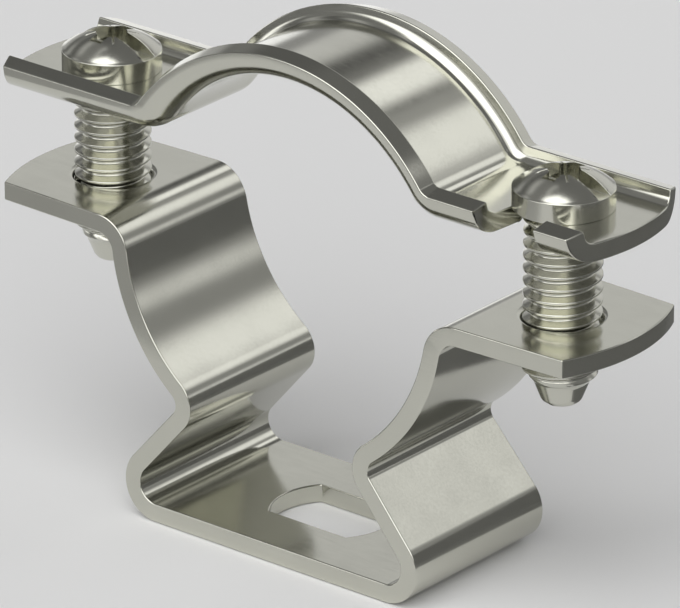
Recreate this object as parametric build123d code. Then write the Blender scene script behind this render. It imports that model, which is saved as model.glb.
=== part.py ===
from build123d import *
import os
from math import acos, asin, atan2, cos, degrees, radians, sin, sqrt, tan

# Spacer clamp that holds a round pipe at a distance from a wall.
# A folded strip with a foot, two leaning legs and two ears carries the pipe from below.
# A pressed saddle with turned-up lips closes over it, and two machine screws draw it down.
# All sizes are in millimetres and all angles in degrees.
# X runs along the ears, Y along the pipe, Z away from the wall.
# The origin is the middle of the foot's underside.

# Sheet and pipe
sheet = 1.5
pipe_radius = 14.7
pipe_height = 23.8
overall_length = 57.6
end_radius = 15.7

# Folded base
foot_length = 28.8
foot_width = 15.7
ear_root_width = 14.3
ear_taper = 1.8
leg_lean = 41.0
fold_radius = 1.5
waist_radius = 1.0
base_ear_top = 23.9
foot_hole_length = 9.8
foot_hole_width = 6.3
thread_mouth_rounding = 0.4

# Pressed saddle
arch_drop = 7.35
flat_width = 8.5
lip_fold_radius = 0.9
lip_turn = 75.0
lip_straight = 0.5
arch_fold_radius = 1.9
slot_neck = 5.5

# Screws
screw_offset = 22.0
thread_diameter = 6.0
screw_length = 15.8
head_diameter = 7.75
head_wall = 1.5
dome_height = 1.5
drive_width = 1.2
cross_width = 1.25
cross_reach = 2.2
cross_depth = 1.9
cone_length = 1.9
cone_top_diameter = 4.36
cone_end_diameter = 2.86
cone_end_rounding = 0.45

# Clearances
thread_clearance = 0.05
saddle_hole_clearance = 0.15
seat_clearance = 0.05

# Heights that follow from the sizes above
base_ear_underside = base_ear_top - sheet
saddle_underside = pipe_height + arch_drop
saddle_top = saddle_underside + sheet
outer_fold_radius = fold_radius + sheet
half_length = overall_length / 2
pipe_axis = (0, pipe_height)
above_all = pipe_height + pipe_radius + 2 * head_diameter


def polar(centre, radius, angle):
    """Point at an angle and distance from a centre."""
    return (centre[0] + radius * cos(radians(angle)), centre[1] + radius * sin(radians(angle)))


def angle_of(point):
    """Direction from the pipe's axis to a point of the profile."""
    return degrees(atan2(point[1] - pipe_height, point[0]))


def thick_band(face_line):
    """Closed face between the outer and inner face lines of a folded sheet."""
    outer = face_line(0)
    inner = face_line(sheet)
    start = Line(outer[0] @ 0, inner[0] @ 0)
    end = Line(outer[-1] @ 1, inner[-1] @ 1)
    return make_face(outer + inner + [start, end])


# Centres of the base's bends, on the right of the profile
foot_bend = (foot_length / 2 - outer_fold_radius, outer_fold_radius)

ear_bend_reach = pipe_radius + sheet + fold_radius
ear_bend_z = base_ear_top - outer_fold_radius
ear_bend = (sqrt(ear_bend_reach**2 - (ear_bend_z - pipe_height) ** 2), ear_bend_z)

# The waist touches the leg on one side and the pipe's arc on the other.
waist_reach = pipe_radius + sheet + waist_radius
leg_normal = (cos(radians(leg_lean)), sin(radians(leg_lean)))
leg_line = foot_bend[0] * leg_normal[0] + foot_bend[1] * leg_normal[1] + outer_fold_radius
waist_line = leg_line + waist_radius - pipe_height * leg_normal[1]
waist_angle = leg_lean - degrees(acos(waist_line / waist_reach))
waist_bend = polar(pipe_axis, waist_reach, waist_angle)


def base_line(depth):
    """Right half of one face of the base, at a depth below its outer face."""
    ear_angle = angle_of(ear_bend)
    foot = CenterArc(foot_bend, outer_fold_radius - depth, -90, 90 + leg_lean)
    waist = CenterArc(waist_bend, waist_radius + depth, 180 + leg_lean, waist_angle - leg_lean)
    arc = CenterArc(pipe_axis, pipe_radius + sheet - depth, waist_angle, ear_angle - waist_angle)
    ear = CenterArc(ear_bend, fold_radius + depth, 180 + ear_angle, -90 - ear_angle)
    start = Line((0, depth), foot @ 0)
    leg = Line(foot @ 1, waist @ 0)
    end = Line(ear @ 1, (half_length, base_ear_underside + depth))
    return [start, foot, leg, waist, arc, ear, end]


def both_sides(half):
    """Solid joined to its mirror image on the other side of the middle."""
    return half + mirror(half, about=Plane.YZ)


def rounded_ends():
    """Block that trims both pieces to the same rounded ends."""
    return extrude(SlotOverall(overall_length, 2 * end_radius), amount=above_all)


def narrowing_sides():
    """Block that narrows the base from the foot up to the ears."""
    foot = foot_width / 2
    ear = ear_root_width / 2
    top = base_ear_top + sheet
    outline = [(-foot, 0), (foot, 0), (ear, base_ear_underside), (ear, top)]
    outline += [(-ear, top), (-ear, base_ear_underside)]
    face = Plane.YZ * make_face(Polyline(outline, close=True))
    return extrude(face, amount=half_length, both=True)


def tapered_ears():
    """Block that tapers each ear of the base from its root to its end."""
    root_x = ear_bend[0]
    root = ear_root_width / 2
    tip = root - (half_length - root_x) * tan(radians(ear_taper))
    right = [(root_x, -foot_width), (root_x, -root), (half_length, -tip)]
    right += [(x, -y) for x, y in reversed(right)]
    left = [(-x, -y) for x, y in right]
    return extrude(make_face(Polyline(right + left, close=True)), amount=above_all)


def screw_holes(diameter):
    """Two upright cylinders at the screws' places, taller than the clamp."""
    places = Locations((-screw_offset, 0), (screw_offset, 0))
    return extrude(Sketch() + [place * Circle(diameter / 2) for place in places], amount=above_all)


def make_base():
    """Folded strip with its foot hole and its two threaded holes."""
    half = extrude(Plane.XZ * thick_band(base_line), amount=foot_width / 2, both=True)
    strip = both_sides(half) & narrowing_sides() & tapered_ears() & rounded_ends()
    foot_hole = Circle(foot_hole_length / 2) & Rectangle(foot_hole_length, foot_hole_width)
    strip -= extrude(foot_hole, amount=outer_fold_radius)
    strip -= screw_holes(thread_diameter + 2 * thread_clearance)
    mouths = strip.faces().sort_by(Axis.Z)[-2:].edges().filter_by(GeomType.CIRCLE)
    mouths = mouths.filter_by(lambda edge: edge.radius < thread_diameter)
    return fillet(mouths, thread_mouth_rounding)


def channel_section():
    """Cross-section of the saddle: a flat with a lip turned up along each side."""
    corner = (flat_width / 2, lip_fold_radius + sheet)
    along = (cos(radians(lip_turn)), sin(radians(lip_turn)))

    def side(depth):
        arc = CenterArc(corner, lip_fold_radius + sheet - depth, -90, lip_turn)
        start = Line((0, depth), arc @ 0)
        lip = Line(arc @ 1, (arc @ 1) + Vector(*along) * lip_straight)
        return [start, arc, lip]

    half = thick_band(side)
    return half + mirror(half, about=Plane.YZ)


def swing_slot():
    """Slot in the right ear, curved about the left screw and open at the front."""
    radius = 2 * screw_offset
    sweep_angle = degrees(asin(foot_width / radius))
    inner = CenterArc((-screw_offset, 0), radius - slot_neck / 2, -sweep_angle, sweep_angle)
    outer = CenterArc((-screw_offset, 0), radius + slot_neck / 2, -sweep_angle, sweep_angle)
    ends = [Line(inner @ 0, outer @ 0), Line(inner @ 1, outer @ 1)]
    return extrude(make_face([inner, outer] + ends), amount=above_all)


def make_saddle():
    """Pressed channel that follows the pipe's arch and the two ears."""
    section = channel_section()
    fold_outside = arch_fold_radius + sheet
    fold_z = saddle_underside + fold_outside
    fold_x = sqrt((pipe_radius + fold_outside) ** 2 - (fold_z - pipe_height) ** 2)
    arch_angle = degrees(atan2(fold_x, fold_z - pipe_height))
    top = Plane((0, 0, pipe_height + pipe_radius), x_dir=(0, 1, 0), z_dir=(1, 0, 0))
    root = Plane((fold_x, 0, saddle_underside), x_dir=(0, 1, 0), z_dir=(1, 0, 0))
    arch = revolve(top * section, Axis((0, 0, pipe_height), (0, 1, 0)), arch_angle)
    fold = revolve(root * section, Axis((fold_x, 0, fold_z), (0, 1, 0)), arch_angle)
    ear = extrude(root * section, amount=half_length - fold_x)
    saddle = both_sides(arch + fold + ear) & rounded_ends()
    saddle -= screw_holes(thread_diameter + 2 * saddle_hole_clearance)
    return saddle - swing_slot()


def make_screw(x):
    """Machine screw with a low domed head, a slot with a cross recess and a pointed end."""
    head_z = saddle_top + seat_clearance
    rim_z = head_z + head_wall
    top_z = rim_z + dome_height
    head_radius = head_diameter / 2
    dome_radius = (head_radius**2 + dome_height**2) / (2 * dome_height)
    shank = thread_diameter / 2
    cone_top = cone_top_diameter / 2
    tip_z = head_z - screw_length
    cone_z = tip_z + cone_length
    chamfer_z = cone_z + shank - cone_top
    dome = RadiusArc((head_radius, rim_z), (0, top_z), -dome_radius)
    sides = Polyline(
        (0, top_z),
        (0, tip_z),
        (cone_end_diameter / 2, tip_z),
        (cone_top, cone_z),
        (shank, chamfer_z),
        (shank, head_z),
        (head_radius, head_z),
        (head_radius, rim_z),
    )
    screw = revolve(Plane.XZ * make_face([dome, sides]), Axis.Z)
    screw = fillet(screw.edges().sort_by(Axis.Z)[0], cone_end_rounding)
    screw -= Pos(0, 0, rim_z + dome_height / 2) * Box(head_diameter, drive_width, dome_height)
    cross = Box(cross_width, 2 * cross_reach, cross_depth)
    screw -= Pos(0, 0, top_z - cross_depth / 2) * cross
    return Pos(x, 0, 0) * screw


nodes = {
    "base_saddle": make_base(),
    "upper_saddle": make_saddle(),
    "left_screw": make_screw(-screw_offset),
    "right_screw": make_screw(screw_offset),
}

os.makedirs("parts", exist_ok=True)
for name, solid in nodes.items():
    export_step(solid, f"parts/{name}.step")
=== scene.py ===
from math import acos, asin, atan2, ceil, cos, degrees, pi, radians, sin, sqrt, tan

import bmesh
import bpy
from mathutils import Matrix, Vector


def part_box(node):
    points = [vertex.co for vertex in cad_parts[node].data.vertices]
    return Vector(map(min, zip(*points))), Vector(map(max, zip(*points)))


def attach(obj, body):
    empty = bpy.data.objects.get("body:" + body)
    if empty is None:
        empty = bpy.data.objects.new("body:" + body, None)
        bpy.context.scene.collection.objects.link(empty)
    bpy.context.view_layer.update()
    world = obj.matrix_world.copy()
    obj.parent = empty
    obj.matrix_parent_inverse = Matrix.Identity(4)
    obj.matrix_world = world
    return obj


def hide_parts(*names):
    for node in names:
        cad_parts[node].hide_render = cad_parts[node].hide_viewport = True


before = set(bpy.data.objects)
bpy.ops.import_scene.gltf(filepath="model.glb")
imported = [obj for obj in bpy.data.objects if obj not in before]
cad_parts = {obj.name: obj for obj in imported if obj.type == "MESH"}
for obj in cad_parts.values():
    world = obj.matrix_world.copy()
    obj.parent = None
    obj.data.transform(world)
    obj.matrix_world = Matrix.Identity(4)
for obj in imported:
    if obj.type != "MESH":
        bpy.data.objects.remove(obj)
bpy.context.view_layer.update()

# Spacer clamp in bright stainless steel, dressed for the render.
# The pieces are built in millimetres, and each is scaled to metres when it is finished.

MM = 0.001
scene = bpy.context.scene


def node_box(node):
    """Lowest and highest corner of a CAD node in millimetres."""
    low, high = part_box(node)
    return low / MM, high / MM


# Sizes that the CAD nodes in model.glb give
base_low, base_high = node_box("base_saddle")
saddle_low = node_box("upper_saddle")[0]
screw_low, screw_high = node_box("right_screw")

FOOT_WIDTH = base_high.y - base_low.y
BASE_EAR_TOP = base_high.z
SADDLE_UNDERSIDE = saddle_low.z
SCREW_OFFSET = (screw_low.x + screw_high.x) / 2
HEAD_DIAMETER = screw_high.y - screw_low.y
TIP_Z = screw_low.z

# Sizes that both sheet pieces share. EDGE is the rounding on their cut edges.
SHEET = 1.5
EDGE = 0.11
PIPE_RADIUS = 14.7
PIPE_HEIGHT = 23.8
HALF_LENGTH = 28.8
END_RADIUS = 15.7

# Sizes of the folded base
FOOT_LENGTH = 28.8
EAR_ROOT_WIDTH = 14.3
EAR_TAPER = radians(1.8)
LEG_LEAN = 41.0
FOLD_RADIUS = 1.5
WAIST_RADIUS = 1.0
FOOT_HOLE_LENGTH = 9.8
FOOT_HOLE_WIDTH = 6.3
THREAD_HOLE_RADIUS = 3.05
THREAD_MOUTH_ROUNDING = 0.4

# Sizes of the pressed saddle
FLAT_WIDTH = 8.5
LIP_FOLD_RADIUS = 0.9
LIP_TURN = 75.0
LIP_STRAIGHT = 0.5
ARCH_FOLD_RADIUS = 1.9
SADDLE_HOLE_RADIUS = 3.15
SLOT_NECK = 5.5

# Shank and point of the screws. A phase is the share of a turn by which a thread is shifted.
SHANK_RADIUS = 3.0
PITCH = 1.0
THREAD_DEPTH = 0.6
LEFT_THREAD_PHASE = 0.89
RIGHT_THREAD_PHASE = 0.70
NECK_LENGTH = 0.25
CONE_LENGTH = 1.9
CONE_TOP_RADIUS = 2.18
CONE_END_RADIUS = 1.43
CONE_END_ROUNDING = 0.45
TIP_RADIUS = CONE_END_RADIUS - CONE_END_ROUNDING

# Heads of the screws. A head's lower edge comes down by SEAT_DROP, close to the saddle.
SEAT_CLEARANCE = 0.05
SEAT_DROP = 0.04
SEAT_ROUNDING = 0.03
RIM_ROUNDING = 0.12
HEAD_WALL = 1.5
DOME_HEIGHT = 1.5
HEAD_RADIUS = HEAD_DIAMETER / 2
HEAD_Z = SADDLE_UNDERSIDE + SHEET + SEAT_CLEARANCE
RIM_Z = HEAD_Z + HEAD_WALL
TOP_Z = RIM_Z + DOME_HEIGHT
DOME_RADIUS = (HEAD_RADIUS**2 + DOME_HEIGHT**2) / (2 * DOME_HEIGHT)

# Drive in the heads: a slot, a cross with a round core, and a fine mark in each corner
DRIVE_WIDTH = 1.36
DRIVE_ROUNDING = 0.04
CROSS_WIDTH = 1.12
CROSS_REACH = 2.0
CROSS_DEPTH = 1.9
CORE_RADIUS = 1.2
MARK_WIDTH = 0.12
MARK_ROOT = 1.7
MARK_REACH = 2.1

# Camera, with lengths in millimetres and angles in degrees
CAMERA_AZIMUTH = 39.352
CAMERA_ELEVATION = 23.175
CAMERA_DISTANCE = 590.82
CAMERA_TARGET = (0.681, 0.0, 18.956)
CAMERA_LENS = 411.8
CAMERA_SENSOR = 36.0
CLIP_START = 10.0
CLIP_END = 10000.0

# Steel of the sheet and of the screws. The stretch draws the grain out along an axis.
STRIP_LIGHT = (0.632, 0.63, 0.56)
STRIP_DARK = (0.602, 0.60, 0.533)
STRIP_ROUGHNESS = 0.15
STRIP_GRAIN = 0.05
STRIP_STRETCH = (14.0, 1.0, 1.0)
SCREW_LIGHT = (0.642, 0.64, 0.57)
SCREW_DARK = (0.612, 0.61, 0.543)
SCREW_ROUGHNESS = 0.17
SCREW_GRAIN = 0.04
SCREW_STRETCH = (1.0, 1.0, 6.0)

# Texture of both steels, with sizes in millimetres
EVEN = (1, 1, 1)
CLOUD_SIZE = 9.0
CLOUD_DETAIL = 2.0
GLOSS_SIZE = 3.0
GRAIN_SIZE = 0.16
GRAIN_DEPTH = 0.0006
FINE_DETAIL = 3.0
ROUGHNESS_CHANGE = 0.02
NOISE_LOW = 0.3
NOISE_HIGH = 0.7

# Floor, and the matt finish that it shares with the cards
FLOOR_RADIUS = 175.0
FLOOR_GAP = 0.05
FLOOR_SHADE = 0.82
MATT_ROUGHNESS = 0.8

# Studio: azimuths count from the photograph's side, to its right, all in degrees.
# Each panel is (name, azimuth, half width, soft edge, lowest, highest, soft edge, brightness).
# A later panel covers an earlier one, and STUDIO_GREY is left where there is none.
STUDIO_FRONT = CAMERA_AZIMUTH - 90.0
STUDIO_GREY = 0.22
STUDIO_MAP_SIZE = 512
STUDIO_PANELS = (
    ("ground", 0.0, 181.0, 1.0, -92.0, -3.0, 8.0, 0.58),
    ("dark ceiling", 130.0, 70.0, 20.0, 50.0, 92.0, 8.0, 0.17),
    ("dark wall behind", -172.0, 14.0, 10.0, 30.0, 60.0, 10.0, 0.13),
    ("dark ground on the right", 100.0, 16.0, 10.0, -34.0, -5.0, 9.0, 0.17),
    ("grey wall behind on the right", 149.0, 32.0, 14.0, 3.0, 29.0, 10.0, 0.70),
    ("dim wall on the right", 100.0, 12.0, 8.0, 3.0, 27.0, 6.0, 0.31),
    ("glow low behind", -172.0, 15.0, 12.0, -16.0, 2.0, 6.0, 1.10),
    ("dim wall behind", -157.0, 10.0, 10.0, 1.0, 14.0, 6.0, 0.45),
    ("tall panel in front", 28.0, 14.0, 14.0, 28.0, 84.0, 10.0, 1.10),
    ("top of the main panel", -34.0, 61.0, 14.0, 64.0, 86.0, 6.0, 2.10),
    ("main panel", -31.0, 51.0, 14.0, 12.0, 80.0, 12.0, 2.10),
    ("foot of the main panel", -47.0, 18.0, 12.0, 5.0, 23.0, 8.0, 0.75),
    ("dark post on the left", -92.0, 8.0, 7.0, -14.0, 56.0, 10.0, 0.20),
    ("bright strip on the left", -120.0, 18.0, 10.0, 3.0, 10.0, 5.0, 1.80),
    ("first dark strip", -136.0, 26.0, 14.0, 13.0, 20.0, 6.0, 0.13),
    ("first grey strip", -132.0, 16.0, 12.0, 22.0, 28.0, 6.0, 0.46),
    ("second dark strip", -138.0, 26.0, 14.0, 30.0, 38.0, 6.0, 0.12),
    ("second grey strip", -136.0, 16.0, 14.0, 42.0, 50.0, 8.0, 0.50),
    ("third grey strip", -132.0, 30.0, 12.0, 68.0, 73.0, 6.0, 0.50),
    ("small grey lamp on the right", 73.0, 4.0, 5.0, 41.0, 48.0, 5.0, 0.60),
    ("low lamp on the right", 97.0, 6.0, 6.0, 7.5, 15.5, 6.0, 0.80),
    ("right window", 114.0, 11.0, 10.0, 27.0, 45.0, 8.0, 1.14),
    ("narrow window", 131.0, 3.3, 5.0, 36.0, 50.0, 6.0, 0.42),
    ("far window", 149.5, 9.0, 8.0, 36.0, 50.0, 7.0, 1.27),
    ("dark window frame", 170.5, 4.0, 6.0, 31.0, 44.0, 6.0, 0.11),
    ("lamp behind", 180.0, 7.0, 7.0, 15.0, 28.0, 6.0, 0.68),
)

# Cards that lie on the floor on both sides of the photograph's frame, for reflections alone: dark
# and grey sheets that paint darker reflections into the steel where the pale floor would show.
# Each is (name, near edge, far edge, height of the leaf that stands there, shade).
# Edges count from the part's middle to the camera's right, in millimetres.
# CARD_FRONT and CARD_BACK count away from the camera.
CARD_FRONT = -80.0
CARD_BACK = 60.0
CARDS = (
    ("dark_card", 28.0, 60.0, 22.5, 0.20),
    ("grey_card", -52.0, -110.0, 5.0, 0.45),
)

# How finely curves are divided, in degrees for each step
BEND_STEP = 3.0
ARCH_STEP = 1.5
SLOT_STEP = 0.5
CORE_STEP = 6.0
SEAT_STEP = 30.0
RIM_STEP = 20.0

# Steps of a full turn, of a rounded edge, and of a hole's rounded mouth
TURN_STEPS = 96
EDGE_STEPS = 3
MOUTH_STEPS = 6

# Half the turn of the curve that trims the sheets' ends, which reaches past their sides
END_TURN = 40.0

# Angle of the dome's last ring, just short of the middle
DOME_STOP = 89.5

# An edge counts as sharp from this angle, and points count as one within this distance.
SHARP_ANGLE = 40.0
MERGE = 0.0005

# Weight of large faces in smooth shading
NORMAL_WEIGHT = 50

# Sockets of the Mix node, which go by number
MIX_SHARE = 0
MIX_FIRST_NUMBER = 2
MIX_SECOND_NUMBER = 3
MIX_FIRST_COLOUR = 6
MIX_SECOND_COLOUR = 7
MIX_NUMBER = 0
MIX_COLOUR = 2


def mesh_object(name, points, faces):
    """New mesh object from points in millimetres."""
    mesh = bpy.data.meshes.new(name)
    mesh.from_pydata(points, [], faces)
    mesh.update()
    made = bpy.data.objects.new(name, mesh)
    scene.collection.objects.link(made)
    return made


def apply_modifiers(piece):
    """Replaces the piece's mesh by the one that its modifiers give."""
    evaluated = piece.evaluated_get(bpy.context.evaluated_depsgraph_get())
    result = bpy.data.meshes.new_from_object(evaluated)
    piece.modifiers.clear()
    piece.data = result


def cut(piece, cutter, operation="DIFFERENCE"):
    """Subtracts the cutter from the piece, or intersects the two."""
    modifier = piece.modifiers.new("cut", "BOOLEAN")
    modifier.operation = operation
    modifier.solver = "EXACT"
    modifier.object = cutter
    apply_modifiers(piece)
    bpy.data.objects.remove(cutter)


def arc(centre, radius, start, turn, step=BEND_STEP):
    """Points of an arc in a plane, from a start angle through a turn, in degrees."""
    count = ceil(abs(turn) / step)
    angles = [radians(start + turn * k / count) for k in range(count + 1)]
    return [(centre[0] + radius * cos(a), centre[1] + radius * sin(a)) for a in angles]


def tube(name, rings):
    """Closed tube through rings of equal size, with a flat face at each end."""
    size = len(rings[0])
    points = [point for ring in rings for point in ring]
    faces = []
    for row in range(len(rings) - 1):
        for k in range(size):
            a = row * size + k
            b = row * size + (k + 1) % size
            faces.append((a, b, b + size, a + size))
    faces.append(tuple(range(size))[::-1])
    faces.append(tuple(range(len(points) - size, len(points))))
    return mesh_object(name, points, faces)


def prism(outline, low, high):
    """Upright block with the given outline."""
    rings = [[(x, y, z) for x, y in outline] for z in (low, high)]
    return tube("cutter", rings)


def lathe(profile, x):
    """Upright turned body from (radius, height) points, all off its axis."""
    angles = [2 * pi * k / TURN_STEPS for k in range(TURN_STEPS)]
    rings = [[(x + r * cos(a), r * sin(a), z) for a in angles] for r, z in profile]
    return tube("turned", rings)


def round_sharp_edges(piece, width, above=-SHEET):
    """Small rounding on what the cuts left sharp, from a height upwards."""
    model = bmesh.new()
    model.from_mesh(piece.data)
    notched = [face for face in model.faces if len(face.verts) > 4]
    bmesh.ops.connect_verts_concave(model, faces=notched)
    weight = model.edges.layers.float.new("bevel_weight_edge")
    for edge in model.edges:
        high = min(corner.co.z for corner in edge.verts) > above
        edge[weight] = float(high and edge.calc_face_angle(0.0) > radians(SHARP_ANGLE))
    model.to_mesh(piece.data)
    model.free()
    modifier = piece.modifiers.new("edges", "BEVEL")
    modifier.width = width
    modifier.segments = EDGE_STEPS
    modifier.limit_method = "WEIGHT"
    modifier.use_clamp_overlap = False
    apply_modifiers(piece)


def merge_points(piece):
    """Joins points that coincide, and drops faces without area and points that shape nothing."""
    model = bmesh.new()
    model.from_mesh(piece.data)
    bmesh.ops.remove_doubles(model, verts=model.verts, dist=MERGE)
    bmesh.ops.dissolve_degenerate(model, edges=model.edges, dist=MERGE)
    loose = [point for point in model.verts if not point.link_faces]
    bmesh.ops.delete(model, geom=loose, context="VERTS")
    folded = [point for point in model.verts if len(point.link_edges) == 2]
    bmesh.ops.dissolve_verts(model, verts=folded)
    model.to_mesh(piece.data)
    model.free()


def smooth(piece):
    """Smooth shading in which large flat faces stay flat."""
    piece.data.shade_smooth()
    modifier = piece.modifiers.new("normals", "WEIGHTED_NORMAL")
    modifier.mode = "FACE_AREA"
    modifier.weight = NORMAL_WEIGHT
    apply_modifiers(piece)


# Bends of the base, worked out as touching arcs
outer_fold = FOLD_RADIUS + SHEET
pipe_axis = (0.0, PIPE_HEIGHT)
foot_bend = (FOOT_LENGTH / 2 - outer_fold, outer_fold)
ear_bend_z = BASE_EAR_TOP - outer_fold
ear_bend_x = sqrt((PIPE_RADIUS + SHEET + FOLD_RADIUS) ** 2 - (ear_bend_z - PIPE_HEIGHT) ** 2)
ear_bend = (ear_bend_x, ear_bend_z)
ear_angle = degrees(atan2(ear_bend_z - PIPE_HEIGHT, ear_bend_x))
lean = radians(LEG_LEAN)
leg_line = foot_bend[0] * cos(lean) + foot_bend[1] * sin(lean) + outer_fold
waist_reach = PIPE_RADIUS + SHEET + WAIST_RADIUS
waist_line = leg_line + WAIST_RADIUS - PIPE_HEIGHT * sin(lean)
waist_angle = LEG_LEAN - degrees(acos(waist_line / waist_reach))
waist_bend = (
    waist_reach * cos(radians(waist_angle)),
    PIPE_HEIGHT + waist_reach * sin(radians(waist_angle)),
)


def bend(centre, outer_radius, inner_radius, start, turn, step=BEND_STEP):
    """Pairs of points on the sheet's outer and inner face along one bend."""
    outer = arc(centre, outer_radius, start, turn, step)
    inner = arc(centre, inner_radius, start, turn, step)
    return list(zip(outer, inner))


def base_stations():
    """Pairs of outer and inner points from one end of the base to the other."""
    thick = WAIST_RADIUS + SHEET
    right = bend(foot_bend, outer_fold, FOLD_RADIUS, -90, 90 + LEG_LEAN)
    right += bend(waist_bend, WAIST_RADIUS, thick, 180 + LEG_LEAN, waist_angle - LEG_LEAN)
    turn = ear_angle - waist_angle
    right += bend(pipe_axis, PIPE_RADIUS + SHEET, PIPE_RADIUS, waist_angle, turn, ARCH_STEP)[1:]
    right += bend(ear_bend, FOLD_RADIUS, outer_fold, 180 + ear_angle, -90 - ear_angle)[1:]
    past_end = HALF_LENGTH + SHEET
    right.append(((past_end, BASE_EAR_TOP - SHEET), (past_end, BASE_EAR_TOP)))
    left = [((-p[0], p[1]), (-q[0], q[1])) for p, q in reversed(right)]
    return left + right


def half_width(x, z):
    """Half the base's width: it narrows up to the ears, and each ear tapers to its end."""
    foot = FOOT_WIDTH / 2
    root = EAR_ROOT_WIDTH / 2
    underside = BASE_EAR_TOP - SHEET
    narrowing = foot + (root - foot) * min(z / underside, 1.0)
    return narrowing - max(abs(x) - ear_bend_x, 0.0) * tan(EAR_TAPER)


def quarter_turn(steps):
    """Angles of a rounded edge, from one face round to the other."""
    return [radians(90 * k / steps) for k in range(steps + 1)]


def strip_ring(outer, inner):
    """Section of the strip at one station: a rectangle with small rounded edges."""
    corner = [(EDGE * (1 - sin(a)), EDGE * (1 - cos(a))) for a in quarter_turn(EDGE_STEPS)]
    ring = [(depth, side, 1) for depth, side in corner]
    ring += [(depth, side, -1) for depth, side in reversed(corner)]
    ring += [(SHEET - depth, side, -1) for depth, side in corner]
    ring += [(SHEET - depth, side, 1) for depth, side in reversed(corner)]
    points = []
    for depth, side, sign in ring:
        share = depth / SHEET
        x = outer[0] + (inner[0] - outer[0]) * share
        z = outer[1] + (inner[1] - outer[1]) * share
        points.append((x, sign * (half_width(x, z) - side), z))
    return points


def end_trimmer(low, high):
    """Block with the rounded ends that both sheet pieces share."""
    centre = HALF_LENGTH - END_RADIUS
    right = arc((centre, 0), END_RADIUS, -END_TURN, 2 * END_TURN, ARCH_STEP)
    left = arc((-centre, 0), END_RADIUS, 180 - END_TURN, 2 * END_TURN, ARCH_STEP)
    return prism(right + left, low, high)


def flared_hole(x, radius, low, high, flare_low, flare_high):
    """Cutter for a round hole whose edges are rounded by the two flares."""
    turn = quarter_turn(MOUTH_STEPS)
    profile = [(radius + flare_low, low - SHEET)]
    for a in turn:
        profile.append((radius + flare_low * (1 - sin(a)), low + flare_low * (1 - cos(a))))
    for a in turn:
        profile.append((radius + flare_high * (1 - cos(a)), high - flare_high * (1 - sin(a))))
    profile.append((radius + flare_high, high + SHEET))
    return lathe(profile, x)


def make_base():
    """Folded strip with its foot hole and its two threaded holes."""
    strip = tube("strip", [strip_ring(p, q) for p, q in base_stations()])
    cut(strip, end_trimmer(-SHEET, BASE_EAR_TOP + SHEET), "INTERSECT")
    flat = degrees(asin(FOOT_HOLE_WIDTH / FOOT_HOLE_LENGTH))
    ends = arc((0, 0), FOOT_HOLE_LENGTH / 2, -flat, 2 * flat, ARCH_STEP)
    ends += arc((0, 0), FOOT_HOLE_LENGTH / 2, 180 - flat, 2 * flat, ARCH_STEP)
    cut(strip, prism(ends, -SHEET, 2 * SHEET))
    round_sharp_edges(strip, EDGE)
    heights = (BASE_EAR_TOP - SHEET, BASE_EAR_TOP)
    flares = (EDGE, THREAD_MOUTH_ROUNDING)
    for x in (-SCREW_OFFSET, SCREW_OFFSET):
        cut(strip, flared_hole(x, THREAD_HOLE_RADIUS, *heights, *flares))
    return strip


# Fold between the saddle's arch and its ears
fold_outside = ARCH_FOLD_RADIUS + SHEET
fold_z = SADDLE_UNDERSIDE + fold_outside
fold_x = sqrt((PIPE_RADIUS + fold_outside) ** 2 - (fold_z - PIPE_HEIGHT) ** 2)
arch_angle = degrees(atan2(fold_x, fold_z - PIPE_HEIGHT))


def channel_ring():
    """Points (across, height) around the saddle's section."""
    corner = (FLAT_WIDTH / 2, LIP_FOLD_RADIUS + SHEET)
    turn = radians(LIP_TURN)
    under = arc(corner, LIP_FOLD_RADIUS + SHEET, -90, LIP_TURN)
    over = arc(corner, LIP_FOLD_RADIUS, -90, LIP_TURN)
    rise = LIP_STRAIGHT - EDGE
    first = (
        under[-1][0] + rise * cos(turn) - EDGE * sin(turn),
        under[-1][1] + rise * sin(turn) + EDGE * cos(turn),
    )
    second = (
        over[-1][0] + rise * cos(turn) + EDGE * sin(turn),
        over[-1][1] + rise * sin(turn) - EDGE * cos(turn),
    )
    tip = arc(first, EDGE, LIP_TURN - 90, 90, 90 / EDGE_STEPS)
    tip += arc(second, EDGE, LIP_TURN, 90, 90 / EDGE_STEPS)
    half = under + tip + list(reversed(over))
    return half + [(-y, h) for y, h in reversed(half)]


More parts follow.
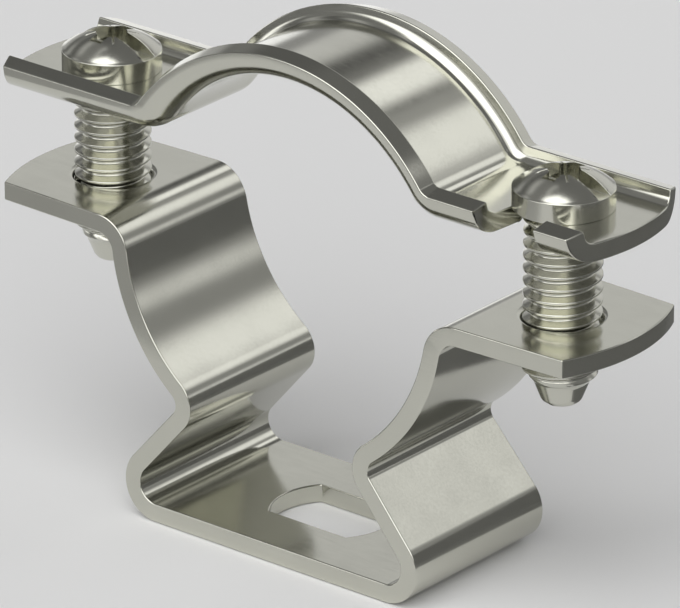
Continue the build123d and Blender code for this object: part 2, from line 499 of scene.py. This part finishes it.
def make_saddle():
    """Pressed channel that follows the pipe's arch and the two ears."""
    section = channel_ring()

    def arch_ring(angle):
        a = radians(angle)
        return [
            ((PIPE_RADIUS + h) * sin(a), y, PIPE_HEIGHT + (PIPE_RADIUS + h) * cos(a))
            for y, h in section
        ]

    def fold_ring(angle):
        a = radians(angle)
        return [
            (fold_x - (fold_outside - h) * sin(a), y, fold_z - (fold_outside - h) * cos(a))
            for y, h in section
        ]

    fold_count = ceil(arch_angle / BEND_STEP)
    arch_count = ceil(arch_angle / ARCH_STEP)
    right = [arch_ring(arch_angle * k / arch_count) for k in range(arch_count)]
    right += [fold_ring(arch_angle * (1 - k / fold_count)) for k in range(fold_count + 1)]
    right.append([(HALF_LENGTH + SHEET, y, SADDLE_UNDERSIDE + h) for y, h in section])
    left = [[(-x, y, z) for x, y, z in ring] for ring in reversed(right[1:])]
    saddle = tube("saddle", left + right)
    over_lips = 3 * SHEET
    low = SADDLE_UNDERSIDE - SHEET
    high = PIPE_HEIGHT + PIPE_RADIUS + over_lips
    cut(saddle, end_trimmer(low, high), "INTERSECT")
    for x in (-SCREW_OFFSET, SCREW_OFFSET):
        circle = arc((x, 0), SADDLE_HOLE_RADIUS, 0, 360, 360 / TURN_STEPS)[:-1]
        cut(saddle, prism(circle, low, high))
    reach = 2 * SCREW_OFFSET
    sweep = degrees(asin(FOOT_WIDTH / 2 / reach))
    inner = arc((-SCREW_OFFSET, 0), reach - SLOT_NECK / 2, -sweep, sweep, SLOT_STEP)
    outer = arc((-SCREW_OFFSET, 0), reach + SLOT_NECK / 2, -sweep, sweep, SLOT_STEP)
    cut(saddle, prism(list(reversed(inner)) + outer, low, high))
    round_sharp_edges(saddle, EDGE)
    return saddle


def thread_profile():
    """One turn's profile from root to root: (share of the pitch, share of the depth)."""
    root = [(0.0, 0.0), (0.06, 0.0), (0.115, 0.03)]
    rise = [(0.17, 0.12), (0.42, 0.92)]
    crest = [(0.445, 0.975), (0.475, 1.0), (0.575, 1.0), (0.605, 0.975)]
    fall = [(0.63, 0.92), (0.88, 0.12), (0.935, 0.03)]
    return root + rise + crest + fall


def shank_limit(z):
    """Largest radius at a height: the pointed end below, the neck under the head above."""
    shoulder = TIP_Z + CONE_LENGTH
    rise = z - TIP_Z
    taper = (CONE_TOP_RADIUS - CONE_END_RADIUS) / CONE_LENGTH
    low = CONE_END_RADIUS + rise * taper
    if rise < CONE_END_ROUNDING:
        short = CONE_END_ROUNDING - rise
        low -= CONE_END_ROUNDING - sqrt(CONE_END_ROUNDING**2 - short**2)
    if z > shoulder:
        low = CONE_TOP_RADIUS + (z - shoulder)
    neck = SHANK_RADIUS - THREAD_DEPTH + max(HEAD_Z - NECK_LENGTH - z, 0.0)
    return min(low, neck)


def head_profile():
    """Turned outline of the head from its underside to the middle of its dome."""
    seat = (HEAD_RADIUS - SEAT_ROUNDING, HEAD_Z - SEAT_DROP + SEAT_ROUNDING)
    low = arc(seat, SEAT_ROUNDING, -90, 90, SEAT_STEP)
    dome_start = degrees(acos((HEAD_RADIUS - RIM_ROUNDING) / DOME_RADIUS))
    dome_turn = DOME_STOP - dome_start
    dome = arc((0.0, TOP_Z - DOME_RADIUS), DOME_RADIUS, dome_start, dome_turn, ARCH_STEP)
    corner = (HEAD_RADIUS - RIM_ROUNDING, dome[0][1] - RIM_ROUNDING)
    rim = arc(corner, RIM_ROUNDING, 0, dome_start, RIM_STEP)
    return [(SHANK_RADIUS - THREAD_DEPTH, HEAD_Z)] + low + rim[:-1] + dome


def turned(points, angle):
    """Points of a plane turned about its middle, by an angle in degrees."""
    c = cos(radians(angle))
    s = sin(radians(angle))
    return [(x * c - y * s, x * s + y * c) for x, y in points]


def cross_outline():
    """Outline of the cross recess: four arms, a round core and a groove in each corner."""
    half = CROSS_WIDTH / 2
    groove = MARK_WIDTH / 2
    arm_turn = degrees(asin(half / CORE_RADIUS))
    groove_turn = degrees(asin(groove / CORE_RADIUS))
    sweep = 45 - arm_turn - groove_turn
    quarter = [(CROSS_REACH, -half), (CROSS_REACH, half)]
    quarter += arc((0, 0), CORE_RADIUS, arm_turn, sweep, CORE_STEP)
    quarter += turned([(MARK_ROOT, -groove), (MARK_ROOT, groove)], 45)
    quarter += arc((0, 0), CORE_RADIUS, 45 + groove_turn, sweep, CORE_STEP)
    return [point for angle in (0, 90, 180, 270) for point in turned(quarter, angle)]


def mark_outline(angle):
    """Outline of a fine mark across the dome, from corner to corner of the recess."""
    half = MARK_WIDTH / 2
    ends = [(-MARK_REACH, -half), (MARK_REACH, -half), (MARK_REACH, half), (-MARK_REACH, half)]
    return turned(ends, angle)


def level_circle(radius, z):
    """Points of a full circle about the screw's axis."""
    angles = [2 * pi * k / TURN_STEPS for k in range(TURN_STEPS)]
    return [(radius * cos(a), radius * sin(a), z) for a in angles]


def threaded_shank(phase):
    """Points and faces of the thread, column by column round the shank."""
    profile = thread_profile()
    rows_per_turn = len(profile)
    spare_turns = 2
    turns = ceil((HEAD_Z - TIP_Z) / PITCH) + spare_turns + 1
    rows = turns * rows_per_turn
    start = TIP_Z - spare_turns * PITCH + phase * PITCH
    points = []
    for k in range(TURN_STEPS):
        angle = 2 * pi * k / TURN_STEPS
        for j in range(rows):
            share, depth = profile[j % rows_per_turn]
            z = start + PITCH * (j // rows_per_turn + share + k / TURN_STEPS)
            z = min(max(z, TIP_Z), HEAD_Z)
            r = min(SHANK_RADIUS - THREAD_DEPTH * (1 - depth), shank_limit(z))
            points.append((r * cos(angle), r * sin(angle), z))
    faces = []
    for k in range(TURN_STEPS):
        last = k == TURN_STEPS - 1
        shift = rows_per_turn if last else 0
        a = k * rows
        b = 0 if last else a + rows
        for j in range(rows - 1 - shift):
            faces.append((a + j, b + j + shift, b + j + shift + 1, a + j + 1))
    return points, faces


def screw_blank(phase):
    """Screw with its thread and its head, before the drive is cut."""
    points, faces = threaded_shank(phase)
    head = head_profile()
    first = len(points)
    points += [point for r, z in head for point in level_circle(r, z)]
    for row in range(len(head) - 1):
        for k in range(TURN_STEPS):
            a = first + row * TURN_STEPS + k
            b = first + row * TURN_STEPS + (k + 1) % TURN_STEPS
            faces.append((a, b, b + TURN_STEPS, a + TURN_STEPS))
    faces.append(tuple(range(len(points) - TURN_STEPS, len(points))))
    first = len(points)
    points += level_circle(TIP_RADIUS, TIP_Z)
    faces.append(tuple(range(first, len(points)))[::-1])
    screw = mesh_object("screw", points, faces)
    merge_points(screw)
    return screw


def make_screw(x, phase):
    """Screw with a right-hand thread, a domed head, a driving slot and a cross recess."""
    screw = screw_blank(phase)
    reach = HEAD_DIAMETER
    half = DRIVE_WIDTH / 2
    slot = [(reach, half), (-reach, half), (-reach, -half), (reach, -half)]
    above_head = TOP_Z + SHEET
    cut(screw, prism(slot, RIM_Z, above_head))
    cut(screw, prism(cross_outline(), TOP_Z - CROSS_DEPTH, above_head))
    mark_z = TOP_Z - DOME_RADIUS + sqrt(DOME_RADIUS**2 - MARK_REACH**2)
    for angle in (45, 135):
        cut(screw, prism(mark_outline(angle), mark_z, above_head))
    round_sharp_edges(screw, DRIVE_ROUNDING, above=RIM_Z - HEAD_WALL / 2)
    merge_points(screw)
    screw.data.transform(Matrix.Translation((x, 0, 0)))
    return screw


def finish_piece(piece, name, node, body, material):
    """Scales the piece to metres, dresses it and lets it stand for its CAD node."""
    smooth(piece)
    piece.data.transform(Matrix.Scale(MM, 4))
    piece.name = name
    piece.data.name = name
    piece.data.materials.clear()
    piece.data.materials.append(material)
    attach(piece, body)
    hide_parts(node)


def math_node(tree, operation, *values):
    """Math node whose inputs are numbers or other nodes' outputs; gives its output."""
    node = tree.nodes.new("ShaderNodeMath")
    node.operation = operation
    for socket, value in zip(node.inputs, values):
        if isinstance(value, (int, float)):
            socket.default_value = value
        else:
            tree.links.new(value, socket)
    return node.outputs[0]


def noise(tree, stretch, size, detail):
    """Noise in the piece's own space: grains of a size in millimetres, drawn out by a stretch."""
    place = tree.nodes.new("ShaderNodeTexCoord")
    mapping = tree.nodes.new("ShaderNodeMapping")
    tree.links.new(place.outputs["Object"], mapping.inputs["Vector"])
    mapping.inputs["Scale"].default_value = [1 / (MM * size * s) for s in stretch]
    texture = tree.nodes.new("ShaderNodeTexNoise")
    texture.inputs["Scale"].default_value = 1.0
    texture.inputs["Detail"].default_value = detail
    tree.links.new(mapping.outputs["Vector"], texture.inputs["Vector"])
    return texture.outputs["Fac"]


def spread(tree, value, low, high):
    """Noise spread between two numbers."""
    node = tree.nodes.new("ShaderNodeMapRange")
    tree.links.new(value, node.inputs["Value"])
    node.inputs["From Min"].default_value = NOISE_LOW
    node.inputs["From Max"].default_value = NOISE_HIGH
    node.inputs["To Min"].default_value = low
    node.inputs["To Max"].default_value = high
    return node.outputs["Result"]


def steel(name, light, dark, roughness, grain, stretch):
    """Bright stainless steel with a faint grain, cloudy gloss and slight changes of tone."""
    material = bpy.data.materials.new(name)
    material.use_nodes = True
    tree = material.node_tree
    shader = tree.nodes["Principled BSDF"]
    shader.inputs["Metallic"].default_value = 1.0
    tone = tree.nodes.new("ShaderNodeMix")
    tone.data_type = "RGBA"
    tone.inputs[MIX_FIRST_COLOUR].default_value = (*dark, 1.0)
    tone.inputs[MIX_SECOND_COLOUR].default_value = (*light, 1.0)
    clouds = noise(tree, EVEN, CLOUD_SIZE, CLOUD_DETAIL)
    tree.links.new(spread(tree, clouds, 0.0, 1.0), tone.inputs[MIX_SHARE])
    tree.links.new(tone.outputs[MIX_COLOUR], shader.inputs["Base Color"])
    lines = noise(tree, stretch, GRAIN_SIZE, FINE_DETAIL)
    cloud = noise(tree, EVEN, GLOSS_SIZE, FINE_DETAIL)
    cloudy = spread(tree, cloud, roughness - ROUGHNESS_CHANGE, roughness + ROUGHNESS_CHANGE)
    lined = spread(tree, lines, -grain / 2, grain / 2)
    tree.links.new(math_node(tree, "ADD", cloudy, lined), shader.inputs["Roughness"])
    bump = tree.nodes.new("ShaderNodeBump")
    bump.inputs["Strength"].default_value = 1.0
    bump.inputs["Distance"].default_value = GRAIN_DEPTH * MM
    tree.links.new(lines, bump.inputs["Height"])
    tree.links.new(bump.outputs["Normal"], shader.inputs["Normal"])
    return material


strip_steel = steel(
    "strip_steel", STRIP_LIGHT, STRIP_DARK, STRIP_ROUGHNESS, STRIP_GRAIN, STRIP_STRETCH
)
screw_steel = steel(
    "screw_steel", SCREW_LIGHT, SCREW_DARK, SCREW_ROUGHNESS, SCREW_GRAIN, SCREW_STRETCH
)

base = make_base()
finish_piece(base, "folded_base", "base_saddle", "base", strip_steel)
saddle = make_saddle()
finish_piece(saddle, "pressed_saddle", "upper_saddle", "saddle", strip_steel)
left = make_screw(-SCREW_OFFSET, LEFT_THREAD_PHASE)
finish_piece(left, "screw_on_the_left", "left_screw", "screw_left", screw_steel)
right = make_screw(SCREW_OFFSET, RIGHT_THREAD_PHASE)
finish_piece(right, "screw_on_the_right", "right_screw", "screw_right", screw_steel)


def matt(name, shade):
    """Matt grey for what stands in the studio."""
    material = bpy.data.materials.new(name)
    material.use_nodes = True
    shader = material.node_tree.nodes["Principled BSDF"]
    shader.inputs["Base Color"].default_value = (shade, shade, shade, 1.0)
    shader.inputs["Roughness"].default_value = MATT_ROUGHNESS
    shader.inputs["Specular IOR Level"].default_value = 0.0
    return material


def make_floor():
    """Round pale floor under the foot."""
    points = [(x, y, -FLOOR_GAP) for x, y in arc((0, 0), FLOOR_RADIUS, 0, 360)[:-1]]
    floor = mesh_object("floor", points, [tuple(range(len(points)))])
    floor.data.transform(Matrix.Scale(MM, 4))
    floor.data.materials.append(matt("floor", FLOOR_SHADE))


def make_card(name, near, far, height, shade):
    """Card on the floor with a standing leaf at its far edge, which only reflections show: a
    sheet whose shade paints a darker reflection into the steel.
    """
    turn = Matrix.Rotation(radians(CAMERA_AZIMUTH), 3, "Z")
    section = ((near, 0.0), (far, 0.0), (far, height))
    points = [turn @ Vector((x, y, z)) for x, z in section for y in (CARD_FRONT, CARD_BACK)]
    card = mesh_object(name, points, [(0, 1, 3, 2), (2, 3, 5, 4)])
    card.data.transform(Matrix.Scale(MM, 4))
    card.data.materials.append(matt(name, shade))
    card.visible_camera = False
    card.visible_diffuse = False
    card.visible_shadow = False


def soft_step(tree, distance, half, softness):
    """One inside half a width, zero outside it, with a soft edge."""
    node = tree.nodes.new("ShaderNodeMapRange")
    node.interpolation_type = "SMOOTHSTEP"
    tree.links.new(distance, node.inputs["Value"])
    node.inputs["From Min"].default_value = half - softness / 2
    node.inputs["From Max"].default_value = half + softness / 2
    node.inputs["To Min"].default_value = 1.0
    node.inputs["To Max"].default_value = 0.0
    return node.outputs["Result"]


def make_world():
    """Studio of soft panels all round, each set by its direction and its brightness."""
    world = bpy.data.worlds.new("studio")
    scene.world = world
    world.use_nodes = True
    world.cycles.sampling_method = "MANUAL"
    world.cycles.sample_map_resolution = STUDIO_MAP_SIZE
    tree = world.node_tree
    place = tree.nodes.new("ShaderNodeTexCoord")
    parts = tree.nodes.new("ShaderNodeSeparateXYZ")
    tree.links.new(place.outputs["Generated"], parts.inputs[0])
    x, y, z = parts.outputs
    turn = math_node(tree, "DEGREES", math_node(tree, "ARCTAN2", y, x))
    height = math_node(tree, "DEGREES", math_node(tree, "ARCSINE", z))
    level = None
    for name, azimuth, half, side_edge, low, high, height_edge, brightness in STUDIO_PANELS:
        offset = math_node(tree, "SUBTRACT", turn, azimuth + STUDIO_FRONT)
        aside = math_node(tree, "ABSOLUTE", math_node(tree, "WRAP", offset, 180.0, -180.0))
        across = soft_step(tree, aside, half, side_edge)
        above = math_node(tree, "ABSOLUTE", math_node(tree, "SUBTRACT", height, (low + high) / 2))
        upright = soft_step(tree, above, (high - low) / 2, height_edge)
        share = math_node(tree, "MULTIPLY", across, upright)
        mix = tree.nodes.new("ShaderNodeMix")
        mix.label = name
        mix.data_type = "FLOAT"
        tree.links.new(share, mix.inputs[MIX_SHARE])
        if level is None:
            mix.inputs[MIX_FIRST_NUMBER].default_value = STUDIO_GREY
        else:
            tree.links.new(level, mix.inputs[MIX_FIRST_NUMBER])
        mix.inputs[MIX_SECOND_NUMBER].default_value = brightness
        level = mix.outputs[MIX_NUMBER]
    tree.links.new(level, tree.nodes["Background"].inputs["Strength"])
    tree.nodes["Background"].inputs["Color"].default_value = (1.0, 1.0, 1.0, 1.0)


def make_camera():
    """Long lens at the photograph's viewing angle."""
    azimuth = radians(CAMERA_AZIMUTH)
    elevation = radians(CAMERA_ELEVATION)
    back = Vector((sin(azimuth) * cos(elevation), -cos(azimuth) * cos(elevation), sin(elevation)))
    data = bpy.data.cameras.new("camera")
    data.lens = CAMERA_LENS
    data.sensor_width = CAMERA_SENSOR
    camera = bpy.data.objects.new("camera", data)
    scene.collection.objects.link(camera)
    camera.location = (Vector(CAMERA_TARGET) + back * CAMERA_DISTANCE) * MM
    camera.rotation_mode = "QUATERNION"
    camera.rotation_quaternion = (-back).to_track_quat("-Z", "Y")
    data.clip_start = CLIP_START * MM
    data.clip_end = CLIP_END * MM
    scene.camera = camera


make_floor()
for card in CARDS:
    make_card(*card)
make_world()
make_camera()
scene.view_settings.view_transform = "Standard"

bpy.context.view_layer.update()
